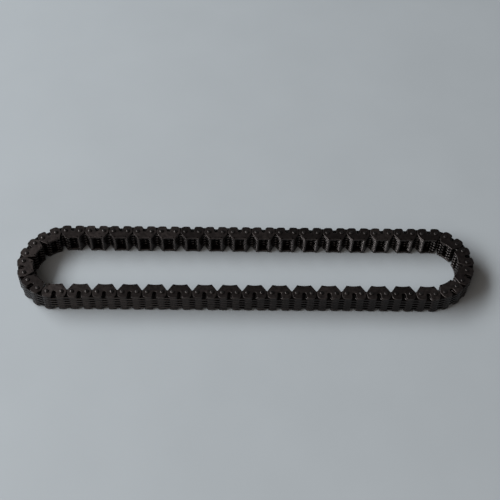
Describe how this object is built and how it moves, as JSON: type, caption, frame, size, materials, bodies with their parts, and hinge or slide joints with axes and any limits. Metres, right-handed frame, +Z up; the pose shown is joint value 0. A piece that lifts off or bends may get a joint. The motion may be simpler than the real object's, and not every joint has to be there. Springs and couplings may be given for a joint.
{
  "type": "silent drive chain",
  "caption": "Endless silent drive chain of toothed plates with outer guide plates and riveted rocker pins, lying on its side.",
  "frame": {"origin": "on the surface that the chain lies on, below the centre of the loop", "axes": "+X along the two straight runs, +Y from the front run to the back run, +Z up along the pins"},
  "size_m": [0.3578, 0.0704, 0.0183],
  "materials": {
    "guide_link_steel": "dark heat-treated steel with a thin film of oil, brown-black, satin",
    "inner_link_steel": "dark heat-treated stamped steel with a thin film of oil, near black, satin"
  },
  "bodies": {
    "back_run_middle": {"back_run_middle": "guide_link_steel"},
    "front_run_middle": {"front_run_middle": "guide_link_steel"},
    "guide_link_01": {"guide_link_01": "guide_link_steel"},
    "guide_link_02": {"guide_link_02": "guide_link_steel"},
    "guide_link_03": {"guide_link_03": "guide_link_steel"},
    "guide_link_04": {"guide_link_04": "guide_link_steel"},
    "guide_link_05": {"guide_link_05": "guide_link_steel"},
    "guide_link_12": {"guide_link_12": "guide_link_steel"},
    "guide_link_13": {"guide_link_13": "guide_link_steel"},
    "guide_link_14": {"guide_link_14": "guide_link_steel"},
    "guide_link_15": {"guide_link_15": "guide_link_steel"},
    "guide_link_16": {"guide_link_16": "guide_link_steel"},
    "guide_link_17": {"guide_link_17": "guide_link_steel"},
    "guide_link_18": {"guide_link_18": "guide_link_steel"},
    "guide_link_19": {"guide_link_19": "guide_link_steel"},
    "guide_link_20": {"guide_link_20": "guide_link_steel"},
    "guide_link_21": {"guide_link_21": "guide_link_steel"},
    "guide_link_22": {"guide_link_22": "guide_link_steel"},
    "guide_link_23": {"guide_link_23": "guide_link_steel"},
    "guide_link_24": {"guide_link_24": "guide_link_steel"},
    "guide_link_25": {"guide_link_25": "guide_link_steel"},
    "guide_link_32": {"guide_link_32": "guide_link_steel"},
    "guide_link_33": {"guide_link_33": "guide_link_steel"},
    "guide_link_34": {"guide_link_34": "guide_link_steel"},
    "guide_link_35": {"guide_link_35": "guide_link_steel"},
    "guide_link_36": {"guide_link_36": "guide_link_steel"},
    "guide_link_37": {"guide_link_37": "guide_link_steel"},
    "guide_link_38": {"guide_link_38": "guide_link_steel"},
    "guide_link_39": {"guide_link_39": "guide_link_steel"},
    "guide_link_40": {"guide_link_40": "guide_link_steel"},
    "inner_link_01": {"inner_link_01": "inner_link_steel"},
    "inner_link_02": {"inner_link_02": "inner_link_steel"},
    "inner_link_03": {"inner_link_03": "inner_link_steel"},
    "inner_link_04": {"inner_link_04": "inner_link_steel"},
    "inner_link_05": {"inner_link_05": "inner_link_steel"},
    "inner_link_11": {"inner_link_11": "inner_link_steel"},
    "inner_link_12": {"inner_link_12": "inner_link_steel"},
    "inner_link_13": {"inner_link_13": "inner_link_steel"},
    "inner_link_14": {"inner_link_14": "inner_link_steel"},
    "inner_link_15": {"inner_link_15": "inner_link_steel"},
    "inner_link_16": {"inner_link_16": "inner_link_steel"},
    "inner_link_17": {"inner_link_17": "inner_link_steel"},
    "inner_link_18": {"inner_link_18": "inner_link_steel"},
    "inner_link_19": {"inner_link_19": "inner_link_steel"},
    "inner_link_20": {"inner_link_20": "inner_link_steel"},
    "inner_link_21": {"inner_link_21": "inner_link_steel"},
    "inner_link_22": {"inner_link_22": "inner_link_steel"},
    "inner_link_23": {"inner_link_23": "inner_link_steel"},
    "inner_link_24": {"inner_link_24": "inner_link_steel"},
    "inner_link_25": {"inner_link_25": "inner_link_steel"},
    "inner_link_31": {"inner_link_31": "inner_link_steel"},
    "inner_link_32": {"inner_link_32": "inner_link_steel"},
    "inner_link_33": {"inner_link_33": "inner_link_steel"},
    "inner_link_34": {"inner_link_34": "inner_link_steel"},
    "inner_link_35": {"inner_link_35": "inner_link_steel"},
    "inner_link_36": {"inner_link_36": "inner_link_steel"},
    "inner_link_37": {"inner_link_37": "inner_link_steel"},
    "inner_link_38": {"inner_link_38": "inner_link_steel"},
    "inner_link_39": {"inner_link_39": "inner_link_steel"},
    "inner_link_40": {"inner_link_40": "inner_link_steel"}
  },
  "joints": [
    {"name": "pivot_21", "type": "hinge", "parent": "front_run_middle", "child": "inner_link_11", "pos_m": [0.04847, -0.0298, 0.00913], "axis": [0, 0, 1], "range_deg": [-8, 8]},
    {"name": "pivot_22", "type": "hinge", "parent": "inner_link_11", "child": "guide_link_12", "pos_m": [0.05799, -0.0298, 0.00913], "axis": [0, 0, 1], "range_deg": [-8, 8]},
    {"name": "pivot_23", "type": "hinge", "parent": "guide_link_12", "child": "inner_link_12", "pos_m": [0.06752, -0.0298, 0.00913], "axis": [0, 0, 1], "range_deg": [-8, 8]},
    {"name": "pivot_24", "type": "hinge", "parent": "inner_link_12", "child": "guide_link_13", "pos_m": [0.07704, -0.0298, 0.00913], "axis": [0, 0, 1], "range_deg": [-8, 8]},
    {"name": "pivot_25", "type": "hinge", "parent": "guide_link_13", "child": "inner_link_13", "pos_m": [0.08657, -0.0298, 0.00913], "axis": [0, 0, 1], "range_deg": [-8, 8]},
    {"name": "pivot_26", "type": "hinge", "parent": "inner_link_13", "child": "guide_link_14", "pos_m": [0.09609, -0.0298, 0.00913], "axis": [0, 0, 1], "range_deg": [-8, 8]},
    {"name": "pivot_27", "type": "hinge", "parent": "guide_link_14", "child": "inner_link_14", "pos_m": [0.10562, -0.0298, 0.00913], "axis": [0, 0, 1], "range_deg": [-8, 8]},
    {"name": "pivot_28", "type": "hinge", "parent": "inner_link_14", "child": "guide_link_15", "pos_m": [0.11514, -0.0298, 0.00913], "axis": [0, 0, 1], "range_deg": [-8, 8]},
    {"name": "pivot_29", "type": "hinge", "parent": "guide_link_15", "child": "inner_link_15", "pos_m": [0.12467, -0.0298, 0.00913], "axis": [0, 0, 1], "range_deg": [-8, 8]},
    {"name": "pivot_30", "type": "hinge", "parent": "inner_link_15", "child": "guide_link_16", "pos_m": [0.13419, -0.0298, 0.00913], "axis": [0, 0, 1], "range_deg": [-8, 8]},
    {"name": "pivot_31", "type": "hinge", "parent": "guide_link_16", "child": "inner_link_16", "pos_m": [0.14372, -0.0298, 0.00913], "axis": [0, 0, 1], "range_deg": [-14.7, 0]},
    {"name": "pivot_32", "type": "hinge", "parent": "inner_link_16", "child": "guide_link_17", "pos_m": [0.15293, -0.02738, 0.00913], "axis": [0, 0, 1], "range_deg": [-15.43, 0]},
    {"name": "pivot_33", "type": "hinge", "parent": "guide_link_17", "child": "inner_link_17", "pos_m": [0.16117, -0.0226, 0.00913], "axis": [0, 0, 1], "range_deg": [-16.17, 0]},
    {"name": "pivot_34", "type": "hinge", "parent": "inner_link_17", "child": "guide_link_18", "pos_m": [0.16775, -0.01571, 0.00913], "axis": [0, 0, 1], "range_deg": [-16.9, 0]},
    {"name": "pivot_35", "type": "hinge", "parent": "guide_link_18", "child": "inner_link_18", "pos_m": [0.17205, -0.00721, 0.00913], "axis": [0, 0, 1], "range_deg": [-17.63, 0]},
    {"name": "pivot_36", "type": "hinge", "parent": "inner_link_18", "child": "guide_link_19", "pos_m": [0.17356, 0.00219, 0.00913], "axis": [0, 0, 1], "range_deg": [-18.37, 0]},
    {"name": "pivot_37", "type": "hinge", "parent": "guide_link_19", "child": "inner_link_19", "pos_m": [0.17204, 0.01159, 0.00913], "axis": [0, 0, 1], "range_deg": [-19.1, 0]},
    {"name": "pivot_38", "type": "hinge", "parent": "inner_link_19", "child": "guide_link_20", "pos_m": [0.16752, 0.01998, 0.00913], "axis": [0, 0, 1], "range_deg": [-19.83, 0]},
    {"name": "pivot_39", "type": "hinge", "parent": "guide_link_20", "child": "inner_link_20", "pos_m": [0.16043, 0.02634, 0.00913], "axis": [0, 0, 1], "range_deg": [-20.57, 0]},
    {"name": "pivot_40", "type": "hinge", "parent": "inner_link_20", "child": "guide_link_21", "pos_m": [0.15156, 0.0298, 0.00913], "axis": [0, 0, 1], "range_deg": [-21.3, 0]},
    {"name": "pivot_41", "type": "hinge", "parent": "guide_link_21", "child": "inner_link_21", "pos_m": [0.14203, 0.0298, 0.00913], "axis": [0, 0, 1], "range_deg": [0, 14.7]},
    {"name": "pivot_42", "type": "hinge", "parent": "inner_link_21", "child": "guide_link_22", "pos_m": [0.13251, 0.0298, 0.00913], "axis": [0, 0, 1], "range_deg": [0, 15.43]},
    {"name": "pivot_43", "type": "hinge", "parent": "guide_link_22", "child": "inner_link_22", "pos_m": [0.12298, 0.0298, 0.00913], "axis": [0, 0, 1], "range_deg": [0, 16.17]},
    {"name": "pivot_44", "type": "hinge", "parent": "inner_link_22", "child": "guide_link_23", "pos_m": [0.11346, 0.0298, 0.00913], "axis": [0, 0, 1], "range_deg": [0, 16.9]},
    {"name": "pivot_45", "type": "hinge", "parent": "guide_link_23", "child": "inner_link_23", "pos_m": [0.10393, 0.0298, 0.00913], "axis": [0, 0, 1], "range_deg": [0, 17.63]},
    {"name": "pivot_46", "type": "hinge", "parent": "inner_link_23", "child": "guide_link_24", "pos_m": [0.09441, 0.0298, 0.00913], "axis": [0, 0, 1], "range_deg": [0, 18.37]},
    {"name": "pivot_47", "type": "hinge", "parent": "guide_link_24", "child": "inner_link_24", "pos_m": [0.08488, 0.0298, 0.00913], "axis": [0, 0, 1], "range_deg": [0, 19.1]},
    {"name": "pivot_48", "type": "hinge", "parent": "inner_link_24", "child": "guide_link_25", "pos_m": [0.07536, 0.0298, 0.00913], "axis": [0, 0, 1], "range_deg": [0, 19.83]},
    {"name": "pivot_49", "type": "hinge", "parent": "guide_link_25", "child": "inner_link_25", "pos_m": [0.06583, 0.0298, 0.00913], "axis": [0, 0, 1], "range_deg": [0, 20.57]},
    {"name": "pivot_50", "type": "hinge", "parent": "inner_link_25", "child": "back_run_middle", "pos_m": [0.05631, 0.0298, 0.00913], "axis": [0, 0, 1], "range_deg": [0, 21.3]},
    {"name": "pivot_10", "type": "hinge", "parent": "front_run_middle", "child": "inner_link_05", "pos_m": [-0.05631, -0.0298, 0.00913], "axis": [0, 0, -1], "range_deg": [0, 21.3]},
    {"name": "pivot_09", "type": "hinge", "parent": "inner_link_05", "child": "guide_link_05", "pos_m": [-0.06583, -0.0298, 0.00913], "axis": [0, 0, -1], "range_deg": [0, 20.57]},
    {"name": "pivot_08", "type": "hinge", "parent": "guide_link_05", "child": "inner_link_04", "pos_m": [-0.07536, -0.0298, 0.00913], "axis": [0, 0, -1], "range_deg": [0, 19.83]},
    {"name": "pivot_07", "type": "hinge", "parent": "inner_link_04", "child": "guide_link_04", "pos_m": [-0.08488, -0.0298, 0.00913], "axis": [0, 0, -1], "range_deg": [0, 19.1]},
    {"name": "pivot_06", "type": "hinge", "parent": "guide_link_04", "child": "inner_link_03", "pos_m": [-0.09441, -0.0298, 0.00913], "axis": [0, 0, -1], "range_deg": [0, 18.37]},
    {"name": "pivot_05", "type": "hinge", "parent": "inner_link_03", "child": "guide_link_03", "pos_m": [-0.10393, -0.0298, 0.00913], "axis": [0, 0, -1], "range_deg": [0, 17.63]},
    {"name": "pivot_04", "type": "hinge", "parent": "guide_link_03", "child": "inner_link_02", "pos_m": [-0.11346, -0.0298, 0.00913], "axis": [0, 0, -1], "range_deg": [0, 16.9]},
    {"name": "pivot_03", "type": "hinge", "parent": "inner_link_02", "child": "guide_link_02", "pos_m": [-0.12298, -0.0298, 0.00913], "axis": [0, 0, -1], "range_deg": [0, 16.17]},
    {"name": "pivot_02", "type": "hinge", "parent": "guide_link_02", "child": "inner_link_01", "pos_m": [-0.13251, -0.0298, 0.00913], "axis": [0, 0, -1], "range_deg": [0, 15.43]},
    {"name": "pivot_01", "type": "hinge", "parent": "inner_link_01", "child": "guide_link_01", "pos_m": [-0.14203, -0.0298, 0.00913], "axis": [0, 0, -1], "range_deg": [0, 14.7]},
    {"name": "pivot_80", "type": "hinge", "parent": "guide_link_01", "child": "inner_link_40", "pos_m": [-0.15156, -0.0298, 0.00913], "axis": [0, 0, -1], "range_deg": [-21.3, 0]},
    {"name": "pivot_79", "type": "hinge", "parent": "inner_link_40", "child": "guide_link_40", "pos_m": [-0.16043, -0.02634, 0.00913], "axis": [0, 0, -1], "range_deg": [-20.57, 0]},
    {"name": "pivot_78", "type": "hinge", "parent": "guide_link_40", "child": "inner_link_39", "pos_m": [-0.16752, -0.01998, 0.00913], "axis": [0, 0, -1], "range_deg": [-19.83, 0]},
    {"name": "pivot_77", "type": "hinge", "parent": "inner_link_39", "child": "guide_link_39", "pos_m": [-0.17204, -0.01159, 0.00913], "axis": [0, 0, -1], "range_deg": [-19.1, 0]},
    {"name": "pivot_76", "type": "hinge", "parent": "guide_link_39", "child": "inner_link_38", "pos_m": [-0.17356, -0.00219, 0.00913], "axis": [0, 0, -1], "range_deg": [-18.37, 0]},
    {"name": "pivot_75", "type": "hinge", "parent": "inner_link_38", "child": "guide_link_38", "pos_m": [-0.17205, 0.00721, 0.00913], "axis": [0, 0, -1], "range_deg": [-17.63, 0]},
    {"name": "pivot_74", "type": "hinge", "parent": "guide_link_38", "child": "inner_link_37", "pos_m": [-0.16775, 0.01571, 0.00913], "axis": [0, 0, -1], "range_deg": [-16.9, 0]},
    {"name": "pivot_73", "type": "hinge", "parent": "inner_link_37", "child": "guide_link_37", "pos_m": [-0.16117, 0.0226, 0.00913], "axis": [0, 0, -1], "range_deg": [-16.17, 0]},
    {"name": "pivot_72", "type": "hinge", "parent": "guide_link_37", "child": "inner_link_36", "pos_m": [-0.15293, 0.02738, 0.00913], "axis": [0, 0, -1], "range_deg": [-15.43, 0]},
    {"name": "pivot_71", "type": "hinge", "parent": "inner_link_36", "child": "guide_link_36", "pos_m": [-0.14372, 0.0298, 0.00913], "axis": [0, 0, -1], "range_deg": [-14.7, 0]},
    {"name": "pivot_70", "type": "hinge", "parent": "guide_link_36", "child": "inner_link_35", "pos_m": [-0.13419, 0.0298, 0.00913], "axis": [0, 0, -1], "range_deg": [-8, 8]},
    {"name": "pivot_69", "type": "hinge", "parent": "inner_link_35", "child": "guide_link_35", "pos_m": [-0.12467, 0.0298, 0.00913], "axis": [0, 0, -1], "range_deg": [-8, 8]},
    {"name": "pivot_68", "type": "hinge", "parent": "guide_link_35", "child": "inner_link_34", "pos_m": [-0.11514, 0.0298, 0.00913], "axis": [0, 0, -1], "range_deg": [-8, 8]},
    {"name": "pivot_67", "type": "hinge", "parent": "inner_link_34", "child": "guide_link_34", "pos_m": [-0.10562, 0.0298, 0.00913], "axis": [0, 0, -1], "range_deg": [-8, 8]},
    {"name": "pivot_66", "type": "hinge", "parent": "guide_link_34", "child": "inner_link_33", "pos_m": [-0.09609, 0.0298, 0.00913], "axis": [0, 0, -1], "range_deg": [-8, 8]},
    {"name": "pivot_65", "type": "hinge", "parent": "inner_link_33", "child": "guide_link_33", "pos_m": [-0.08657, 0.0298, 0.00913], "axis": [0, 0, -1], "range_deg": [-8, 8]},
    {"name": "pivot_64", "type": "hinge", "parent": "guide_link_33", "child": "inner_link_32", "pos_m": [-0.07704, 0.0298, 0.00913], "axis": [0, 0, -1], "range_deg": [-8, 8]},
    {"name": "pivot_63", "type": "hinge", "parent": "inner_link_32", "child": "guide_link_32", "pos_m": [-0.06752, 0.0298, 0.00913], "axis": [0, 0, -1], "range_deg": [-8, 8]},
    {"name": "pivot_62", "type": "hinge", "parent": "guide_link_32", "child": "inner_link_31", "pos_m": [-0.05799, 0.0298, 0.00913], "axis": [0, 0, -1], "range_deg": [-8, 8]}
  ],
  "couplings": [
    {"joint": "pivot_41", "follows": "pivot_01", "ratio": 1},
    {"joint": "pivot_31", "follows": "pivot_01", "ratio": -1},
    {"joint": "pivot_71", "follows": "pivot_01", "ratio": -1},
    {"joint": "pivot_42", "follows": "pivot_02", "ratio": 1},
    {"joint": "pivot_32", "follows": "pivot_02", "ratio": -1},
    {"joint": "pivot_72", "follows": "pivot_02", "ratio": -1},
    {"joint": "pivot_43", "follows": "pivot_03", "ratio": 1},
    {"joint": "pivot_33", "follows": "pivot_03", "ratio": -1},
    {"joint": "pivot_73", "follows": "pivot_03", "ratio": -1},
    {"joint": "pivot_44", "follows": "pivot_04", "ratio": 1},
    {"joint": "pivot_34", "follows": "pivot_04", "ratio": -1},
    {"joint": "pivot_74", "follows": "pivot_04", "ratio": -1},
    {"joint": "pivot_45", "follows": "pivot_05", "ratio": 1},
    {"joint": "pivot_35", "follows": "pivot_05", "ratio": -1},
    {"joint": "pivot_75", "follows": "pivot_05", "ratio": -1},
    {"joint": "pivot_46", "follows": "pivot_06", "ratio": 1},
    {"joint": "pivot_36", "follows": "pivot_06", "ratio": -1},
    {"joint": "pivot_76", "follows": "pivot_06", "ratio": -1},
    {"joint": "pivot_47", "follows": "pivot_07", "ratio": 1},
    {"joint": "pivot_37", "follows": "pivot_07", "ratio": -1},
    {"joint": "pivot_77", "follows": "pivot_07", "ratio": -1},
    {"joint": "pivot_48", "follows": "pivot_08", "ratio": 1},
    {"joint": "pivot_38", "follows": "pivot_08", "ratio": -1},
    {"joint": "pivot_78", "follows": "pivot_08", "ratio": -1},
    {"joint": "pivot_49", "follows": "pivot_09", "ratio": 1},
    {"joint": "pivot_39", "follows": "pivot_09", "ratio": -1},
    {"joint": "pivot_79", "follows": "pivot_09", "ratio": -1},
    {"joint": "pivot_50", "follows": "pivot_10", "ratio": 1},
    {"joint": "pivot_40", "follows": "pivot_10", "ratio": -1},
    {"joint": "pivot_80", "follows": "pivot_10", "ratio": -1},
    {"joint": "pivot_30", "follows": "pivot_21", "ratio": -1},
    {"joint": "pivot_70", "follows": "pivot_21", "ratio": -1},
    {"joint": "pivot_29", "follows": "pivot_22", "ratio": -1},
    {"joint": "pivot_62", "follows": "pivot_22", "ratio": 1},
    {"joint": "pivot_69", "follows": "pivot_22", "ratio": -1},
    {"joint": "pivot_28", "follows": "pivot_23", "ratio": -1},
    {"joint": "pivot_63", "follows": "pivot_23", "ratio": 1},
    {"joint": "pivot_68", "follows": "pivot_23", "ratio": -1},
    {"joint": "pivot_27", "follows": "pivot_24", "ratio": -1},
    {"joint": "pivot_64", "follows": "pivot_24", "ratio": 1},
    {"joint": "pivot_67", "follows": "pivot_24", "ratio": -1},
    {"joint": "pivot_26", "follows": "pivot_25", "ratio": -1},
    {"joint": "pivot_65", "follows": "pivot_25", "ratio": 1},
    {"joint": "pivot_66", "follows": "pivot_25", "ratio": -1}
  ]
}
